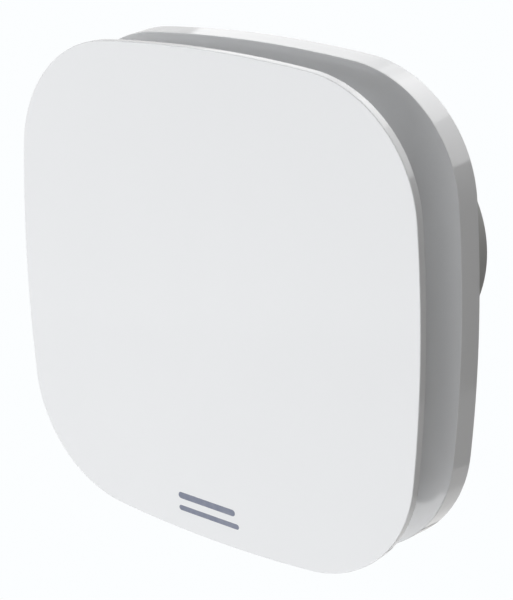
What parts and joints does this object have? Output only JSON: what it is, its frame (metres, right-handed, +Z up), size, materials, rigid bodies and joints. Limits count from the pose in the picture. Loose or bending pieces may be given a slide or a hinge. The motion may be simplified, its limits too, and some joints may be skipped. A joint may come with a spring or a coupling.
{
  "type": "heat recovery unit",
  "caption": "Single-room through-wall heat recovery ventilator: flat rounded-square panel standing off a coved base, with a round drum behind that passes through the wall.",
  "frame": {"origin": "centre of the wall face, where the drum's axis meets the plane of the wall", "axes": "+Y into the wall along the drum's axis, -Y out of the front panel into the room, +Z up, +X to the right as seen from the room"},
  "size_m": [0.236, 0.14, 0.236],
  "materials": {
    "white_gloss": "gloss",
    "drum_grey": "satin",
    "foam_dark": "foam",
    "cover_white": "satin",
    "grille_white": "satin",
    "baffle_grey": "foam",
    "divider_white": "satin",
    "plate_plastic": "satin",
    "end_plastic": "satin",
    "cap_grey": "satin",
    "fan_black": "moulded",
    "rotor_black": "moulded",
    "lamination_steel": "laminated",
    "copper_wire": "enamelled",
    "bearing_steel": "polished",
    "magnet_dark": "sintered",
    "shaft_steel": "ground",
    "board_green": "solder mask",
    "transformer_yellow": "tape wound",
    "capacitor_blue": "sleeved",
    "component_black": "moulded",
    "connector_white": "moulded",
    "lead_red": "extruded",
    "pot_grey": "stamped",
    "dial_blue": "moulded",
    "sensor_white": "moulded",
    "terminal_cream": "moulded",
    "screw_zinc": "zinc plated",
    "clamp_white": "moulded",
    "grommet_rubber": "moulded",
    "light_pipe_clear": "clear",
    "peg_white": "moulded",
    "filter_frame_grey": "moulded",
    "filter_media": "non-woven"
  },
  "bodies": {
    "housing": {"base_housing": "white_gloss", "back_plate": "cover_white", "mounting_posts": "cover_white", "duct_drum": "drum_grey", "duct_seal": "foam_dark", "inner_cover": "cover_white", "intake_grille": "grille_white", "outlet_grille": "grille_white", "gap_baffle": "baffle_grey", "divider_front": "divider_white", "divider_rear": "divider_white", "exchanger_plates": "plate_plastic", "exchanger_ends": "end_plastic", "core_seal": "foam_dark", "outdoor_cap": "cap_grey", "extract_fan_frame": "fan_black", "extract_stator": "lamination_steel", "extract_coils": "copper_wire", "extract_bearings": "bearing_steel", "supply_fan_frame": "fan_black", "supply_stator": "lamination_steel", "supply_coils": "copper_wire", "supply_bearings": "bearing_steel", "fan_gaskets": "foam_dark", "drum_gasket": "foam_dark", "circuit_board": "board_green", "transformer": "transformer_yellow", "capacitors": "capacitor_blue", "relay": "component_black", "board_chips": "component_black", "lead_plugs": "connector_white", "fan_leads": "lead_red", "dial_bodies": "pot_grey", "humidity_sensor": "sensor_white", "terminal_block": "terminal_cream", "terminal_screws": "screw_zinc", "cable_clamp": "clamp_white", "clamp_screws": "screw_zinc", "cable_grommet": "grommet_rubber", "fan_screws": "screw_zinc", "cover_screws": "screw_zinc", "board_screws": "screw_zinc", "flange_screws": "screw_zinc", "peg_grommets": "grommet_rubber", "light_pipe": "light_pipe_clear"},
    "front_panel": {"front_panel": "white_gloss", "panel_pegs": "peg_white"},
    "filter": {"filter_frame": "filter_frame_grey", "filter_pad": "filter_media"},
    "extract_rotor": {"extract_rotor": "rotor_black", "extract_magnet": "magnet_dark", "extract_shaft": "shaft_steel"},
    "supply_rotor": {"supply_rotor": "rotor_black", "supply_magnet": "magnet_dark", "supply_shaft": "shaft_steel"},
    "speed_dial": {"speed_dial": "dial_blue"},
    "timer_dial": {"timer_dial": "dial_blue"}
  },
  "joints": [
    {"name": "panel_pull", "type": "slide", "parent": "housing", "child": "front_panel", "axis": [0, -1, 0], "range_m": [0, 0.08]},
    {"name": "filter_pull", "type": "slide", "parent": "housing", "child": "filter", "axis": [0, 0, 1], "range_m": [0, 0.08]},
    {"name": "extract_fan_spin", "type": "hinge", "parent": "housing", "child": "extract_rotor", "pos_m": [0, -0.017, 0.0315], "axis": [0, 1, 0], "continuous": true},
    {"name": "supply_fan_spin", "type": "hinge", "parent": "housing", "child": "supply_rotor", "pos_m": [0, -0.017, -0.0315], "axis": [0, 1, 0], "continuous": true},
    {"name": "speed_dial_turn", "type": "hinge", "parent": "housing", "child": "speed_dial", "pos_m": [0.076, -0.026, 0.03], "axis": [0, 1, 0], "range_deg": [-135, 135]},
    {"name": "timer_dial_turn", "type": "hinge", "parent": "housing", "child": "timer_dial", "pos_m": [0.076, -0.026, 0.014], "axis": [0, 1, 0], "range_deg": [-135, 135]}
  ]
}
